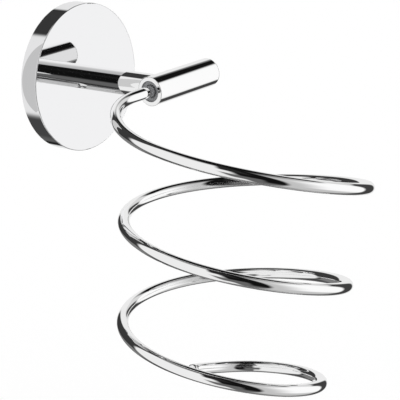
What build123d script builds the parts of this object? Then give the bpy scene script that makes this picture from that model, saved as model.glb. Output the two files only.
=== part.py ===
from build123d import *
from math import cos, pi, radians, sin, tan
import os

# Wall-mounted hair dryer holder: a round rosette on the wall, a short arm that stands out from it,
# a cross tube on the arm's end, and a bent rod that leaves the tube and winds down in a conical spiral.
# Millimetres.  Origin: centre of the rosette's wall face.  +Z is up, the arm runs along -Y.

# ---------------------------------------------------------------- driving sizes
FIT = 0.03                  # radial clearance of a slip fit

ROSETTE_DIA = 60.0
ROSETTE_THICK = 7.8         # wall face to polished face
ROSETTE_RIM = 2.8           # wall of the rim
ROSETTE_FRONT = 2.4         # wall of the face
ROSETTE_EDGE = 0.4          # broken front edge

PLATE_THICK = 4.4
PLATE_CLEAR = 0.15          # radial gap between wall plate and rosette
PLATE_BACK = 1.2            # left behind the pocket for the arm screw's head
PLATE_POCKET_DIA = 15.0
PLUG_RELIEF_DIA = 7.0       # shallow relief round each plug, so that a proud plug does no harm
PLUG_RELIEF_DEPTH = 0.6
GROOVE_DEPTH = 1.0          # V groove that the rosette's set screw pulls into
FIXING_SPACING = 34.0       # between the two wall screws, one above the other
WALL_SCREW_DIA = 4.0
WALL_SCREW_HEAD_DIA = 7.8
WALL_SCREW_DEPTH = 16.0     # how far the screw goes into the wall
WALL_SCREW_TIP = 3.0
RECESS_SPAN = 4.2           # cross recess in the wall screws
RECESS_WIDTH = 0.9
RECESS_DEPTH = 1.6
PLUG_DIA = 6.0
PLUG_LENGTH = 15.0
PLUG_SLIT = 0.8
PLUG_COLLAR = 4.0           # unslit length at the wall's surface
ROSETTE_SCREW_DIA = 3.0
ROSETTE_SCREW_KEY = 1.5     # hexagon across flats

ARM_DIA = 10.0
TUBE_DISTANCE = 46.2        # wall to the cross tube's axis
ARM_SCREW_DIA = 5.0
ARM_SCREW_IN_ARM = 12.0
ARM_SCREW_HEAD_DIA = 8.5
ARM_SCREW_HEAD = 2.4
ARM_SCREW_KEY = 3.0
WASHER_DIA = 10.0
WASHER_THICK = 1.0
DOWEL_DIA = 1.5
DOWEL_RADIUS = 3.75         # from the arm's axis
DOWEL_IN_ARM = 4.0

TUBE_DIA = 11.6
TUBE_BORE_DIA = 8.4
TUBE_NEAR = 6.8             # arm axis to the open end
TUBE_FAR = 31.0             # arm axis to the closed end
TUBE_END_WALL = 3.0
TUBE_END_ROUND = 1.0
TUBE_LIP_ROUND = 0.3
TUBE_TILT = 7.5             # degrees by which the open end points down
MOUTH_RECESS = 0.8          # open end to the bush
BUSH_LENGTH = 2.0
BUSH_STEP = 0.5             # width of the step round the rod
BUSH_STEP_DEPTH = 0.8
SOCKET_LENGTH = 24.0
STUD_DIA = 5.0
STUD_IN_ARM = 9.0
ROD_SCREW_DIA = 4.0
ROD_SCREW_AT = 10.0         # from the arm's axis towards the closed end
ROD_SCREW_KEY = 2.0
SCREW_SINK = 0.4            # set screws end this far below the surface
KEY_DEPTH = 1.2
DRILL_PAST = 1.0            # tapped holes run this much deeper than their screws

ROD_DIA = 4.6
ROD_IN_SOCKET = 20.0
ROD_END_ROUND = 1.0
SPIRAL_X = -0.5             # the spiral's upright axis
SPIRAL_Y = -89.5
SPIRAL_RADII = (51.0, 48.5, 46.5, 45.0, 46.5, 44.0, 39.5, 42.5, 44.5, 44.5, 36.5, 18.0, 14.0, 25.0)
                            # axis to the rod's centre at each quarter turn, from the wall side to -X
SPIRAL_TURNS = 3.10
SPIRAL_TOP_Z = -6.0         # the rod's height where the spiral starts, on the wall side
SPIRAL_PITCH = 38.7         # drop in one turn
SPIRAL_LEAN_X = -0.022      # rise of the coils towards +X, per mm
SPIRAL_LEAN_Y = 0.020       # rise of the coils towards the wall, per mm
FOOT_LEVEL_TURN = 2.4       # from here on the coil levels out
FOOT_LEVEL = 40.0
EXIT_RUN = 8              # straight run outside the tube's mouth, up to the first bend's corner
LEAD_IN_TURNS = 0.22        # by here the run from the tube has become the spiral
LEAD_IN_POINTS = 5
LEAD_IN_REACH = 1.2         # how firmly the lead-in keeps the direction of each of its ends
POINTS_PER_TURN = 16
BEND_SHARE = 0.49           # share of each run that a bend takes at each end

# ---------------------------------------------------------------- derived places
FACE_Y = -ROSETTE_THICK
CAVITY_Y = FACE_Y + ROSETTE_FRONT
CAVITY_DIA = ROSETTE_DIA - 2 * ROSETTE_RIM
PLATE_DIA = CAVITY_DIA - 2 * PLATE_CLEAR
GROOVE_Y = -PLATE_THICK / 2
WASHER_Y = CAVITY_Y + WASHER_THICK
ARM_SCREW_TIP_Y = FACE_Y - ARM_SCREW_IN_ARM
STUD_TIP_Y = -TUBE_DISTANCE + TUBE_DIA / 2 + STUD_IN_ARM
BUSH_X = -TUBE_NEAR + MOUTH_RECESS
SOCKET_X = BUSH_X + BUSH_LENGTH
ROD_END_X = SOCKET_X + ROD_IN_SOCKET
ROD_BORE_DIA = ROD_DIA + 2 * FIT
TUBE_PLACE = Pos(0, -TUBE_DISTANCE, 0) * Rot(0, -TUBE_TILT, 0)   # tube frame: +X to the closed end


# ---------------------------------------------------------------- helpers
def bar_y(diameter, start, end, x=0.0, z=0.0):
    """Round bar along Y."""
    return Pos(x, (start + end) / 2, z) * Rot(90, 0, 0) * Cylinder(diameter / 2, abs(end - start))


def bar_x(diameter, start, end):
    """Round bar along X, on the cross tube's axis in the tube's frame."""
    return Pos((start + end) / 2, 0, 0) * Rot(0, 90, 0) * Cylinder(diameter / 2, abs(end - start))


def bar_z(diameter, start, end, x=0.0, y=0.0):
    """Round bar along Z."""
    return Pos(x, y, (start + end) / 2) * Cylinder(diameter / 2, abs(end - start))


def cone_y(start_dia, end_dia, start, end, z=0.0):
    """Cone along +Y from start_dia at `start` to end_dia at `end`."""
    cone = Cone(start_dia / 2, end_dia / 2, end - start)
    return Pos(0, (start + end) / 2, z) * Rot(-90, 0, 0) * cone


def hex_key_z(across_flats, start, end):
    """Hexagonal key hole along Z."""
    hexagon = RegularPolygon(across_flats / 2, 6, major_radius=False)
    return Pos(0, 0, start) * extrude(hexagon, end - start)


def fixing_heights():
    """Heights of the two wall screws."""
    return (FIXING_SPACING / 2, -FIXING_SPACING / 2)


# ---------------------------------------------------------------- wall side
def rosette():
    body = bar_y(ROSETTE_DIA, 0, FACE_Y)
    front_rim = body.edges().sort_by(Axis.Y)[0]
    body = fillet(front_rim, ROSETTE_EDGE)
    body -= bar_y(CAVITY_DIA, 0, CAVITY_Y)
    body -= bar_y(ARM_SCREW_DIA + 2 * FIT, 0, FACE_Y)
    body -= bar_y(DOWEL_DIA, 0, FACE_Y, z=DOWEL_RADIUS)
    body -= Pos(0, GROOVE_Y, 0) * bar_z(ROSETTE_SCREW_DIA, -ROSETTE_DIA / 2, 0)
    return body


def wall_plate():
    body = bar_y(PLATE_DIA, 0, -PLATE_THICK)
    body -= bar_y(PLATE_POCKET_DIA, -PLATE_BACK, -PLATE_THICK)
    rim = PLATE_DIA / 2
    notch = Polyline(
        (rim + GROOVE_DEPTH, GROOVE_Y - 2 * GROOVE_DEPTH),
        (rim - GROOVE_DEPTH, GROOVE_Y),
        (rim + GROOVE_DEPTH, GROOVE_Y + 2 * GROOVE_DEPTH),
        close=True,
    )
    body -= revolve(make_face(notch), Axis.Y)
    for height in fixing_heights():
        body -= bar_y(WALL_SCREW_DIA + 2 * FIT, 0, -PLATE_THICK, z=height)
        body -= bar_y(PLUG_RELIEF_DIA, 0, -PLUG_RELIEF_DEPTH, z=height)
        body -= countersink(height)
    return body


def countersink(height):
    """The cone that a wall screw's head fills, flush with the wall plate."""
    depth = (WALL_SCREW_HEAD_DIA - WALL_SCREW_DIA) / 2
    return cone_y(WALL_SCREW_HEAD_DIA, WALL_SCREW_DIA, -PLATE_THICK, -PLATE_THICK + depth, height)


def wall_screws():
    screws = []
    for height in fixing_heights():
        taper = WALL_SCREW_DEPTH - WALL_SCREW_TIP
        screw = bar_y(WALL_SCREW_DIA, -PLATE_THICK, taper, z=height)
        screw += countersink(height)
        screw += cone_y(WALL_SCREW_DIA, WALL_SCREW_DIA / 8, taper, WALL_SCREW_DEPTH, height)
        for span, width in ((RECESS_SPAN, RECESS_WIDTH), (RECESS_WIDTH, RECESS_SPAN)):
            recess = Box(span, 2 * RECESS_DEPTH, width)
            screw -= Pos(0, -PLATE_THICK, height) * recess
        screws.append(screw.solid())
    return Compound(children=screws)


def wall_plugs():
    plugs = []
    slit_length = PLUG_LENGTH - PLUG_COLLAR
    for height in fixing_heights():
        plug = bar_y(PLUG_DIA, 0, PLUG_LENGTH, z=height)
        plug -= bar_y(WALL_SCREW_DIA, 0, PLUG_LENGTH, z=height)
        slit = Box(PLUG_SLIT, slit_length, PLUG_DIA)
        plug -= Pos(0, PLUG_LENGTH - slit_length / 2, height) * slit
        plugs.append(plug.solid())
    return Compound(children=plugs)


def rosette_set_screw():
    """Grub screw from below: its cone end sits in the wall plate's groove."""
    outer = -(ROSETTE_DIA / 2 - SCREW_SINK)
    tip = -(PLATE_DIA / 2 - GROOVE_DEPTH) - FIT
    cone_length = ROSETTE_SCREW_DIA / 2
    body = bar_z(ROSETTE_SCREW_DIA, outer, tip - cone_length)
    cone = Cone(ROSETTE_SCREW_DIA / 2, 0.05, cone_length)
    body += Pos(0, 0, tip - cone_length / 2) * cone
    body -= hex_key_z(ROSETTE_SCREW_KEY, outer, outer + KEY_DEPTH)
    return Pos(0, GROOVE_Y, 0) * body


# ---------------------------------------------------------------- arm
def arm():
    body = bar_y(ARM_DIA, FACE_Y, -TUBE_DISTANCE)
    body -= TUBE_PLACE * bar_x(TUBE_DIA, -TUBE_FAR, TUBE_FAR)
    body -= bar_y(ARM_SCREW_DIA, FACE_Y, ARM_SCREW_TIP_Y - DRILL_PAST)
    body -= bar_y(DOWEL_DIA, FACE_Y, FACE_Y - DOWEL_IN_ARM, z=DOWEL_RADIUS)
    body -= bar_y(STUD_DIA, -TUBE_DISTANCE, STUD_TIP_Y + DRILL_PAST)
    return body


def arm_screw():
    body = bar_y(ARM_SCREW_DIA, WASHER_Y, ARM_SCREW_TIP_Y)
    head_top = WASHER_Y + ARM_SCREW_HEAD
    body += bar_y(ARM_SCREW_HEAD_DIA, WASHER_Y, head_top)
    key = Rot(90, 0, 0) * hex_key_z(ARM_SCREW_KEY, 0, KEY_DEPTH)
    body -= Pos(0, head_top, 0) * key
    return body


def arm_washer():
    return bar_y(WASHER_DIA, CAVITY_Y, WASHER_Y) - bar_y(ARM_SCREW_DIA + 2 * FIT, CAVITY_Y, WASHER_Y)


def arm_dowel():
    return bar_y(DOWEL_DIA, CAVITY_Y, FACE_Y - DOWEL_IN_ARM, z=DOWEL_RADIUS)


def arm_stud():
    """Threaded stud: screwed into the arm, through the tube's wall and down onto the rod."""
    return bar_y(STUD_DIA, STUD_TIP_Y, -TUBE_DISTANCE + ROD_DIA / 2)


# ---------------------------------------------------------------- cross tube
def cross_tube():
    body = bar_x(TUBE_DIA, -TUBE_NEAR, TUBE_FAR)
    ends = body.edges().filter_by(GeomType.CIRCLE).sort_by(Axis.X)
    body = fillet(ends[-1], TUBE_END_ROUND)
    open_rim = body.edges().filter_by(GeomType.CIRCLE).sort_by(Axis.X)[0]
    body = fillet(open_rim, TUBE_LIP_ROUND)
    body -= bar_x(TUBE_BORE_DIA, -TUBE_NEAR, TUBE_FAR - TUBE_END_WALL)
    body -= bar_y(STUD_DIA, 0, TUBE_DIA)
    body -= bar_z(ROD_SCREW_DIA, -TUBE_DIA, 0, x=ROD_SCREW_AT)
    return TUBE_PLACE * body


def rod_socket():
    body = bar_x(TUBE_BORE_DIA - 2 * FIT, SOCKET_X, SOCKET_X + SOCKET_LENGTH)
    body -= bar_x(ROD_BORE_DIA, SOCKET_X, ROD_END_X)
    body -= bar_y(STUD_DIA, 0, TUBE_DIA)
    body -= bar_z(ROD_SCREW_DIA, -TUBE_DIA, 0, x=ROD_SCREW_AT)
    return TUBE_PLACE * body


def rod_bush():
    body = bar_x(TUBE_BORE_DIA - 2 * FIT, BUSH_X, SOCKET_X)
    body -= bar_x(ROD_BORE_DIA, BUSH_X, SOCKET_X)
    body -= bar_x(ROD_DIA + 2 * BUSH_STEP, BUSH_X, BUSH_X + BUSH_STEP_DEPTH)
    return TUBE_PLACE * body


def rod_set_screw():
    outer = -(TUBE_DIA / 2 - SCREW_SINK)
    body = bar_z(ROD_SCREW_DIA, outer, -ROD_DIA / 2)
    body -= hex_key_z(ROD_SCREW_KEY, outer, outer + KEY_DEPTH)
    return TUBE_PLACE * Pos(ROD_SCREW_AT, 0, 0) * body


# ---------------------------------------------------------------- spiral rod
def tube_axis_point(distance):
    """Point on the cross tube's axis, `distance` from the arm towards the closed end."""
    tilt = radians(TUBE_TILT)
    return Vector(distance * cos(tilt), -TUBE_DISTANCE, distance * sin(tilt))


def spiral_radius(turn):
    """Radius after `turn` turns: a smooth curve through the quarter-turn radii."""
    step = min(int(4 * turn), len(SPIRAL_RADII) - 2)
    s = 4 * turn - step
    before, here, there, after = (
        SPIRAL_RADII[min(max(step + i, 0), len(SPIRAL_RADII) - 1)] for i in (-1, 0, 1, 2)
    )
    slope_in = (there - before) / 2
    slope_out = (after - here) / 2
    radius = here * (2 * s**3 - 3 * s**2 + 1) + there * (3 * s**2 - 2 * s**3)
    return radius + slope_in * (s**3 - 2 * s**2 + s) + slope_out * (s**3 - s**2)


def spiral_point(turn, widen=1.0):
    """Rod centre after `turn` turns, counted from the wall side; the first quarter runs to -X."""
    radius = widen * spiral_radius(turn)
    x = -radius * sin(2 * pi * turn)
    y = radius * cos(2 * pi * turn)
    z = SPIRAL_TOP_Z - SPIRAL_PITCH * turn + SPIRAL_LEAN_X * x + SPIRAL_LEAN_Y * y
    z += FOOT_LEVEL * max(turn - FOOT_LEVEL_TURN, 0) ** 2
    return Vector(SPIRAL_X + x, SPIRAL_Y + y, z)


def lead_in_point(share):
    """Smooth run from the first bend (share 0) to the spiral (share 1)."""
    first = tube_axis_point(-TUBE_NEAR - EXIT_RUN)
    out = (first - tube_axis_point(0)).normalized()
    landing = spiral_point(LEAD_IN_TURNS)
    along = (spiral_point(LEAD_IN_TURNS + 0.001) - landing).normalized()
    reach = LEAD_IN_REACH * (landing - first).length
    s = share
    point = first * (2 * s**3 - 3 * s**2 + 1) + landing * (3 * s**2 - 2 * s**3)
    return point + (out * (s**3 - 2 * s**2 + s) + along * (s**3 - s**2)) * reach


def rod_corners():
    """Corners of the rod's bent part: from the tube's mouth, along the lead-in, round the spiral."""
    corners = [tube_axis_point(-TUBE_NEAR), tube_axis_point(-TUBE_NEAR - EXIT_RUN)]
    corners += [lead_in_point(i / (LEAD_IN_POINTS + 1)) for i in range(1, LEAD_IN_POINTS + 1)]
    widen = 1 / cos(pi / POINTS_PER_TURN)      # bends then touch the spiral's own radius
    steps = round((SPIRAL_TURNS - LEAD_IN_TURNS) * POINTS_PER_TURN)
    for i in range(steps + 1):
        turn = LEAD_IN_TURNS + (SPIRAL_TURNS - LEAD_IN_TURNS) * i / steps
        corners.append(spiral_point(turn, widen))
    return corners


def bend_radii(corners):
    """Radius at each corner, as large as its two runs allow."""
    radii = []
    for before, here, after in zip(corners, corners[1:], corners[2:]):
        run_in = here - before
        run_out = after - here
        half_turn = radians(run_in.get_angle(run_out)) / 2
        radii.append(BEND_SHARE * min(run_in.length, run_out.length) / tan(half_turn))
    return radii


def spiral_rod():
    corners = rod_corners()
    radii = bend_radii(corners)
    straight = Line(tube_axis_point(ROD_END_X), corners[0])
    path = Wire([straight] + FilletPolyline(*corners, radius=radii).edges())
    start = Plane(origin=straight @ 0, z_dir=straight % 0)
    body = sweep(start * Circle(ROD_DIA / 2), path=path)
    drift = body.volume / (pi * ROD_DIA**2 / 4 * path.length) - 1
    print(f"rod path {path.length:.1f} mm, bends {min(radii):.1f} to {max(radii):.1f} mm, drift {drift:.5f}")
    foot = path @ 1
    rims = body.edges().filter_by(GeomType.CIRCLE).sort_by_distance(foot)
    return fillet(rims[0], ROD_END_ROUND)


NODES = {
    "rosette": rosette,
    "wall_plate": wall_plate,
    "wall_screws": wall_screws,
    "wall_plugs": wall_plugs,
    "rosette_set_screw": rosette_set_screw,
    "arm": arm,
    "arm_screw": arm_screw,
    "arm_washer": arm_washer,
    "arm_dowel": arm_dowel,
    "arm_stud": arm_stud,
    "cross_tube": cross_tube,
    "rod_socket": rod_socket,
    "rod_bush": rod_bush,
    "rod_set_screw": rod_set_screw,
    "spiral_rod": spiral_rod,
}

os.makedirs("parts", exist_ok=True)
for name, make in NODES.items():
    export_step(make(), f"parts/{name}.step")
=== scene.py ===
import math

import bpy
from mathutils import Matrix, Vector


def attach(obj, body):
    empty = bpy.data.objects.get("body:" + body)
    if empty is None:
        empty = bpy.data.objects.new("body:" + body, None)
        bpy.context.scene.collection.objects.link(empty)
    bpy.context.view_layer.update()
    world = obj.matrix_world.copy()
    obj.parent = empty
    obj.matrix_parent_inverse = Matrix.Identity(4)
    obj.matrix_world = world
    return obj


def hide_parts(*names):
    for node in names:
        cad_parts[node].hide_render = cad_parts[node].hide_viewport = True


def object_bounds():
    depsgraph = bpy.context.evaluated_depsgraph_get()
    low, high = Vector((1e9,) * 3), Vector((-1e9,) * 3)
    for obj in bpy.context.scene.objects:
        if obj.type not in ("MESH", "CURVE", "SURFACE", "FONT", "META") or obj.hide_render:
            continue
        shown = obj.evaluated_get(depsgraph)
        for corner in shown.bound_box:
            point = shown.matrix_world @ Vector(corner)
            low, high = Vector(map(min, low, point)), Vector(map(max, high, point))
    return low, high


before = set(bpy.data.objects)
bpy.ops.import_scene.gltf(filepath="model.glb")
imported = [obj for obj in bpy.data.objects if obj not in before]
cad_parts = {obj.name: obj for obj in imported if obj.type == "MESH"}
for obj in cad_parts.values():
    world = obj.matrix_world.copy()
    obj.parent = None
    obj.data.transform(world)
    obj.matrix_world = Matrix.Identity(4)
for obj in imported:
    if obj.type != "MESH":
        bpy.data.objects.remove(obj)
cad_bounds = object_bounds()
MM = 0.001
GRAIN_DETAIL = 2.0                            # finer grains that lie over the main one


# ---------------------------------------------------------------- helpers
def linear(hex_colour):
    """sRGB hex to the linear colour that the shader sockets take."""
    parts = [int(hex_colour[i:i + 2], 16) / 255 for i in (0, 2, 4)]
    return [c / 12.92 if c <= 0.04045 else ((c + 0.055) / 1.055) ** 2.4 for c in parts] + [1.0]


def add(tree, kind, inputs=None, **settings):
    """One node, with its settings and its unlinked inputs."""
    node = tree.nodes.new(kind)
    for name, value in settings.items():
        setattr(node, name, value)
    for name, value in (inputs or {}).items():
        node.inputs[name].default_value = value
    return node


def material(name, colour, metallic, roughness, haze, grain_mm, relief_mm=0.0, stretch=(1, 1, 1)):
    """A surface whose roughness varies by the haze over a grain of real size, with a fine relief."""
    mat = bpy.data.materials.new(name)
    mat.use_nodes = True
    tree = mat.node_tree
    link = tree.links.new
    shader = tree.nodes["Principled BSDF"]
    shader.inputs["Base Color"].default_value = linear(colour)
    shader.inputs["Metallic"].default_value = metallic
    place = add(tree, "ShaderNodeTexCoord")
    spread = add(tree, "ShaderNodeMapping", {"Scale": stretch})
    grain = add(tree, "ShaderNodeTexNoise", {"Scale": 1 / (grain_mm * MM), "Detail": GRAIN_DETAIL})
    rough = add(tree, "ShaderNodeMapRange", {"To Min": roughness - haze, "To Max": roughness + haze})
    link(place.outputs["Object"], spread.inputs["Vector"])
    link(spread.outputs["Vector"], grain.inputs["Vector"])
    link(grain.outputs["Fac"], rough.inputs["Value"])
    link(rough.outputs["Result"], shader.inputs["Roughness"])
    if relief_mm:
        relief = add(tree, "ShaderNodeBump", {"Distance": relief_mm * MM})
        link(grain.outputs["Fac"], relief.inputs["Height"])
        link(relief.outputs["Normal"], shader.inputs["Normal"])
    return mat


def dress(node, mat):
    """Give a CAD node its material."""
    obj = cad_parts[node]
    for slot in obj.material_slots:
        slot.material = mat


# ---------------------------------------------------------------- materials
# Bright chrome plating on buffed brass: a true mirror with the faintest polishing haze.
chrome = material("polished_chrome", "fbfbfb", 1.0, 0.02, 0.008, 6.0)
# Chrome plating on pressed steel: the same mirror, a shade greyer than the plating on brass.
pressed_chrome = material("pressed_chrome", "f1f1f2", 1.0, 0.025, 0.010, 8.0)
# Moulded glass-filled nylon: dull mid grey with a fine moulded grain and a weak, broad shine.
nylon = material("grey_nylon", "8f9092", 0.0, 0.55, 0.08, 0.4, 0.02)
# Bright zinc plating on rolled steel: cool grey, blurred reflections, faint streaks of the rolling.
zinc = material("zinc_plated_steel", "c3c6ca", 1.0, 0.32, 0.08, 1.5, 0.004, (1, 1, 6))
# Turned stainless steel: plain grey, with the fine rings of the lathe blurring what it mirrors.
steel = material("stainless_steel", "b8b8b8", 1.0, 0.28, 0.06, 0.5, 0.003, (1, 6, 1))
# Turned brass left bare: warm yellow, fine turning marks round its axis.
brass = material("turned_brass", "c9a24e", 1.0, 0.30, 0.06, 0.6, 0.003, (6, 1, 1))

dress("rosette", pressed_chrome)
for node in ("arm", "cross_tube"):
    dress(node, chrome)
for node in ("wall_plugs", "rod_bush"):
    dress(node, nylon)
for node in ("wall_plate", "wall_screws"):
    dress(node, zinc)
for node in ("rosette_set_screw", "arm_screw", "arm_washer", "arm_dowel", "arm_stud", "rod_set_screw"):
    dress(node, steel)
dress("rod_socket", brass)

# ---------------------------------------------------------------- rod
# The bent rod as one smooth sweep along its design path.  Lengths are in millimetres.
ROD_RADIUS = 2.28                             # a hair inside the rod it stands for
ROD_START = 16.0                              # from the arm's axis towards the closed end
ROD_END_ROUND = 1.0
ROD_SMOOTHNESS = 10                           # bevel resolution round the rod
TUBE_DISTANCE = 46.2                          # wall to the tube's axis
TUBE_NEAR = 6.8                               # arm's axis to the tube's mouth
TUBE_TILT = math.radians(7.5)
EXIT_RUN = 8.0                                # straight run outside the mouth
LEAD_IN_TURNS = 0.22                          # by here the rod follows the spiral
LEAD_IN_REACH = 1.2                           # how firmly each end keeps its direction
SPIRAL_X = -0.5
SPIRAL_Y = -89.5
SPIRAL_RADII = (51.0, 48.5, 46.5, 45.0, 46.5, 44.0, 39.5, 42.5, 44.5, 44.5, 36.5, 18.0, 14.0, 25.0)
                                              # at each quarter turn, from the wall side to -X
SPIRAL_TURNS = 3.10
SPIRAL_TOP_Z = -6.0
SPIRAL_PITCH = 38.7
SPIRAL_LEAN_X = -0.022
SPIRAL_LEAN_Y = 0.020
FOOT_LEVEL_TURN = 2.4                         # from here on the coil levels out
FOOT_LEVEL = 40.0
SMALL_TURN = 0.001                            # step that gives the spiral's direction
STEPS_PER_TURN = 120
LEAD_IN_STEPS = 36
END_STEPS = 6


def hermite(start, end, slope_in, slope_out, s):
    """Smooth run from start to end, with the given slopes, at share s."""
    run = start * (2 * s**3 - 3 * s**2 + 1) + end * (3 * s**2 - 2 * s**3)
    return run + slope_in * (s**3 - 2 * s**2 + s) + slope_out * (s**3 - s**2)


def spiral_point(turn):
    """Rod centre after the turns, its radius a smooth curve through the quarter-turn radii."""
    step = min(int(4 * turn), len(SPIRAL_RADII) - 2)
    last = len(SPIRAL_RADII) - 1
    before, here, there, after = (SPIRAL_RADII[min(max(step + i, 0), last)] for i in (-1, 0, 1, 2))
    radius = hermite(here, there, (there - before) / 2, (after - here) / 2, 4 * turn - step)
    x = -radius * math.sin(2 * math.pi * turn)
    y = radius * math.cos(2 * math.pi * turn)
    z = SPIRAL_TOP_Z - SPIRAL_PITCH * turn + SPIRAL_LEAN_X * x + SPIRAL_LEAN_Y * y
    z += FOOT_LEVEL * max(turn - FOOT_LEVEL_TURN, 0) ** 2
    return Vector((SPIRAL_X + x, SPIRAL_Y + y, z))


def tube_axis_point(distance):
    """Point on the cross tube's axis, the distance from the arm towards the closed end."""
    return Vector((distance * math.cos(TUBE_TILT), -TUBE_DISTANCE, distance * math.sin(TUBE_TILT)))


def rod_path():
    """From the socket, out of the tube, along the lead-in and round the spiral."""
    mouth = tube_axis_point(-TUBE_NEAR - EXIT_RUN)
    landing = spiral_point(LEAD_IN_TURNS)
    reach = LEAD_IN_REACH * (landing - mouth).length
    out = (mouth - tube_axis_point(0)).normalized() * reach
    along = (spiral_point(LEAD_IN_TURNS + SMALL_TURN) - landing).normalized() * reach
    points = [tube_axis_point(ROD_START), mouth]
    points += [hermite(mouth, landing, out, along, i / LEAD_IN_STEPS) for i in range(1, LEAD_IN_STEPS)]
    steps = round((SPIRAL_TURNS - LEAD_IN_TURNS) * STEPS_PER_TURN)
    turns = SPIRAL_TURNS - LEAD_IN_TURNS
    points += [spiral_point(LEAD_IN_TURNS + turns * i / steps) for i in range(steps + 1)]
    return points


def smooth_rod():
    """Round bar along the path, its foot's edge rounded off."""
    points = rod_path()
    sizes = [1.0] * len(points)
    foot = points[-1]
    forward = (foot - points[-2]).normalized()
    points[-1] = foot - forward * ROD_END_ROUND
    for i in range(1, END_STEPS + 1):
        turned = math.pi / 2 * i / END_STEPS
        points.append(foot - forward * ROD_END_ROUND * (1 - math.sin(turned)))
        sizes.append(1 - ROD_END_ROUND / ROD_RADIUS * (1 - math.cos(turned)))
    curve = bpy.data.curves.new("smooth_rod", "CURVE")
    curve.dimensions = "3D"
    curve.bevel_depth = ROD_RADIUS * MM
    curve.bevel_resolution = ROD_SMOOTHNESS
    curve.use_fill_caps = True
    spline = curve.splines.new("POLY")
    spline.points.add(len(points) - 1)
    for place, centre, size in zip(spline.points, points, sizes):
        place.co = (*(centre * MM), 1)
        place.radius = size
    spline.use_smooth = True
    curve.materials.append(chrome)
    rod = bpy.data.objects.new("smooth_rod", curve)
    bpy.context.scene.collection.objects.link(rod)
    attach(rod, "root")
    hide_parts("spiral_rod")


smooth_rod()

# ---------------------------------------------------------------- camera
AIM = Vector((-0.005, -0.060, -0.045))        # middle of the object, in metres
AZIMUTH = math.radians(-52.87)
ELEVATION = math.radians(11.94)
ROLL = math.radians(2.26)
DISTANCE = 0.5819
SHIFT_RIGHT = 0.00914
SHIFT_UP = 0.00317
LENS = 135                                    # mm, as is the sensor
SENSOR_WIDTH = 36
CLIP_START = 0.01

back = Vector((
    math.sin(AZIMUTH) * math.cos(ELEVATION),
    -math.cos(AZIMUTH) * math.cos(ELEVATION),
    math.sin(ELEVATION),
))
level = Vector((math.cos(AZIMUTH), math.sin(AZIMUTH), 0))
upright = back.cross(level)
right = level * math.cos(ROLL) + upright * math.sin(ROLL)
up = upright * math.cos(ROLL) - level * math.sin(ROLL)
camera_data = bpy.data.cameras.new("camera")
camera_data.lens = LENS
camera_data.sensor_width = SENSOR_WIDTH
camera_data.clip_start = CLIP_START
camera = bpy.data.objects.new("camera", camera_data)
bpy.context.scene.collection.objects.link(camera)
stand = Matrix((right, up, back)).transposed().to_4x4()
stand.translation = AIM + right * SHIFT_RIGHT + up * SHIFT_UP + back * DISTANCE
camera.matrix_world = stand
bpy.context.scene.camera = camera
bpy.context.scene.view_settings.view_transform = "Standard"

# ---------------------------------------------------------------- studio
# Painted reflections that only polished metal mirrors, lighting nothing: bright softbox patches and
# dark gaps round the object, each a patch of the sky.
# (azimuth from, to, elevation from, to, softness across, softness up and down, level), angles in
# degrees; azimuth 0 looks along -Y, 90 along +X.  Later patches lie over earlier ones.
PAINTED_GAP_LEVEL = 0.006                             # painted dark reflection between the softbox patches
PAINTED_REFLECTION_PATCHES = (
    (-180, 180, -90, -50, 1, 40, 0.16),       # painted reflection of a grey floor
    (-157, -60, -80, 66, 10, 24, 0.87),       # painted reflection of the left softbox
    (-75, -38, -52, -8, 8, 12, 0.13),         # painted grey floor edge under the gap
    (-71, -40, 28, 90, 8, 12, 0.02),          # painted dark corner over it
    (-16, 74, -75, 63, 8, 30, 0.55),          # painted right softbox, its dim outer part
    (10, 110, -33, 44, 40, 18, 1.0),          # painted right softbox, its bright middle
    (74, 205, -90, -40, 12, 16, 0.18),        # painted floor behind
    (76, 106, -42, 26, 8, 8, 0.05),           # painted dark strip right of the backdrop
    (106, 148, -28, 38, 6, 6, 0.85),          # painted backdrop
    (74, 110, 24, 40, 6, 6, 0.7),             # its painted upper edge, over the strip
    (64, 122, 43, 78, 6, 6, 0.006),           # painted dark gap over it
    (150, 203, -8, 62, 6, 8, 0.04),           # painted dark gap left of the backdrop
    (148, 196, -38, -12, 6, 6, 0.2),          # painted dim grey below that gap
    (150, 200, -62, -42, 6, 6, 0.06),         # painted dark floor edge below the grey
)
FLOOR_DROP = 100.0                            # lowest point of the rod to the floor, in mm
FLOOR_SIZE = 8000.0                           # in mm
CARD_EDGES = (-48.0, -31.0, -18.0, 42.0)      # left, right, bottom and top of the card, in mm
CARD_BEHIND = 0.5                             # behind the wall's face, in mm
HALF_TURN = 180.0
WHOLE_TURN = 360
# glow of the card, which paints a grey reflection into the chrome and lights nothing
PAINTED_REFLECTION_LEVEL = 0.6


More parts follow.
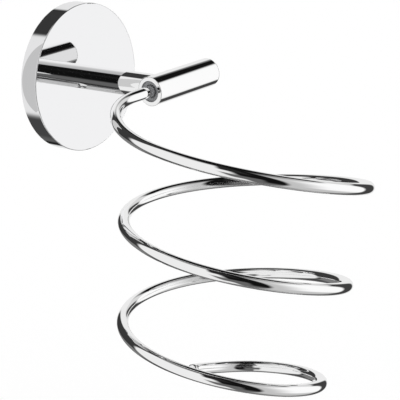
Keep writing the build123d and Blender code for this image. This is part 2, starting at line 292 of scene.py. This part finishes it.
def studio_light():
    """White to the camera, an even white light for matt surfaces, the painted reflection patches above
    for mirrors.
    """
    world = bpy.data.worlds.new("studio")
    bpy.context.scene.world = world
    world.use_nodes = True
    tree = world.node_tree
    tree.nodes.clear()
    link = tree.links.new

    def math_node(operation, first, second=0.0, third=0.0):
        node = add(tree, "ShaderNodeMath", operation=operation)
        for socket, value in zip(node.inputs, (first, second, third)):
            if isinstance(value, (int, float)):
                socket.default_value = value
            else:
                link(value, socket)
        return node.outputs[0]

    def near(angle, low, high, softness, wrap):
        """1 where the angle lies between low and high, falling to 0 across the softness."""
        offset = math_node("SUBTRACT", angle, (low + high) / 2)
        if wrap:
            offset = math_node("WRAP", offset, HALF_TURN, -HALF_TURN)
        offset = math_node("ABSOLUTE", offset)
        half = (high - low) / 2
        fall = add(tree, "ShaderNodeMapRange", {
            "From Min": half - softness / 2,
            "From Max": half + softness / 2,
            "To Min": 1.0,
            "To Max": 0.0,
        }, interpolation_type="SMOOTHSTEP")
        link(offset, fall.inputs["Value"])
        return fall.outputs["Result"]

    coords = add(tree, "ShaderNodeTexCoord")
    split = add(tree, "ShaderNodeSeparateXYZ")
    link(coords.outputs["Generated"], split.inputs[0])
    x, y, z = split.outputs
    azimuth = math_node("DEGREES", math_node("ARCTAN2", x, math_node("MULTIPLY", y, -1.0)))
    elevation = math_node("DEGREES", math_node("ARCSINE", z))
    tone = None
    for west, east, low, high, soft_across, soft_up, brightness in PAINTED_REFLECTION_PATCHES:
        whole_round = east - west >= WHOLE_TURN
        mask = near(elevation, low, high, soft_up, False)
        if not whole_round:
            mask = math_node("MULTIPLY", mask, near(azimuth, west, east, soft_across, True))
        mix = add(tree, "ShaderNodeMix", {"A": PAINTED_GAP_LEVEL, "B": brightness}, data_type="FLOAT")
        link(mask, mix.inputs["Factor"])
        if tone is not None:
            link(tone, mix.inputs["A"])
        tone = mix.outputs[0]
    mirrored = add(tree, "ShaderNodeBackground", {"Strength": 1.0})
    link(tone, mirrored.inputs["Color"])
    plain = add(tree, "ShaderNodeBackground", {"Color": (1, 1, 1, 1), "Strength": 1.0})
    path = add(tree, "ShaderNodeLightPath")
    mix = add(tree, "ShaderNodeMixShader")
    link(path.outputs["Is Glossy Ray"], mix.inputs[0])
    link(plain.outputs[0], mix.inputs[1])
    link(mirrored.outputs[0], mix.inputs[2])
    out = add(tree, "ShaderNodeOutputWorld")
    link(mix.outputs[0], out.inputs["Surface"])


def studio_surface(name, corners, mat):
    """One flat four-cornered surface of the studio, which is no part of the holder."""
    mesh = bpy.data.meshes.new(name)
    mesh.from_pydata([Vector(corner) * MM for corner in corners], [], [(0, 1, 2, 3)])
    mesh.materials.append(mat)
    obj = bpy.data.objects.new(name, mesh)
    bpy.context.scene.collection.objects.link(obj)
    return obj


def pale_floor():
    """Matt white floor below the holder; it takes a soft shadow and is not mirrored in the chrome."""
    paint = bpy.data.materials.new("white_floor_paint")
    paint.use_nodes = True
    shader = paint.node_tree.nodes["Principled BSDF"]
    shader.inputs["Base Color"].default_value = linear("ffffff")
    shader.inputs["Roughness"].default_value = 1.0
    shader.inputs["Specular IOR Level"].default_value = 0.0
    z = cad_bounds[0][2] / MM - FLOOR_DROP
    reach = FLOOR_SIZE / 2
    corners = [(-reach, -reach, z), (reach, -reach, z), (reach, reach, z), (-reach, reach, z)]
    floor = studio_surface("floor", corners, paint)
    floor.visible_glossy = False


def painted_reflection_card():
    """Painted grey reflection: a glowing light grey card left of the rosette that lights nothing, seen
    only where the rim, the arm and the rod mirror it.
    """
    glow = bpy.data.materials.new("painted_reflection_grey")
    glow.use_nodes = True
    tree = glow.node_tree
    tree.nodes.clear()
    emission = add(tree, "ShaderNodeEmission", {"Strength": PAINTED_REFLECTION_LEVEL})
    out = add(tree, "ShaderNodeOutputMaterial")
    tree.links.new(emission.outputs[0], out.inputs["Surface"])
    left, right_edge, bottom, top = CARD_EDGES
    y = CARD_BEHIND
    corners = [(left, y, bottom), (right_edge, y, bottom), (right_edge, y, top), (left, y, top)]
    card = studio_surface("painted_reflection_card", corners, glow)
    card.visible_camera = False
    card.visible_diffuse = False
    card.visible_transmission = False
    card.visible_shadow = False


studio_light()
pale_floor()
painted_reflection_card()
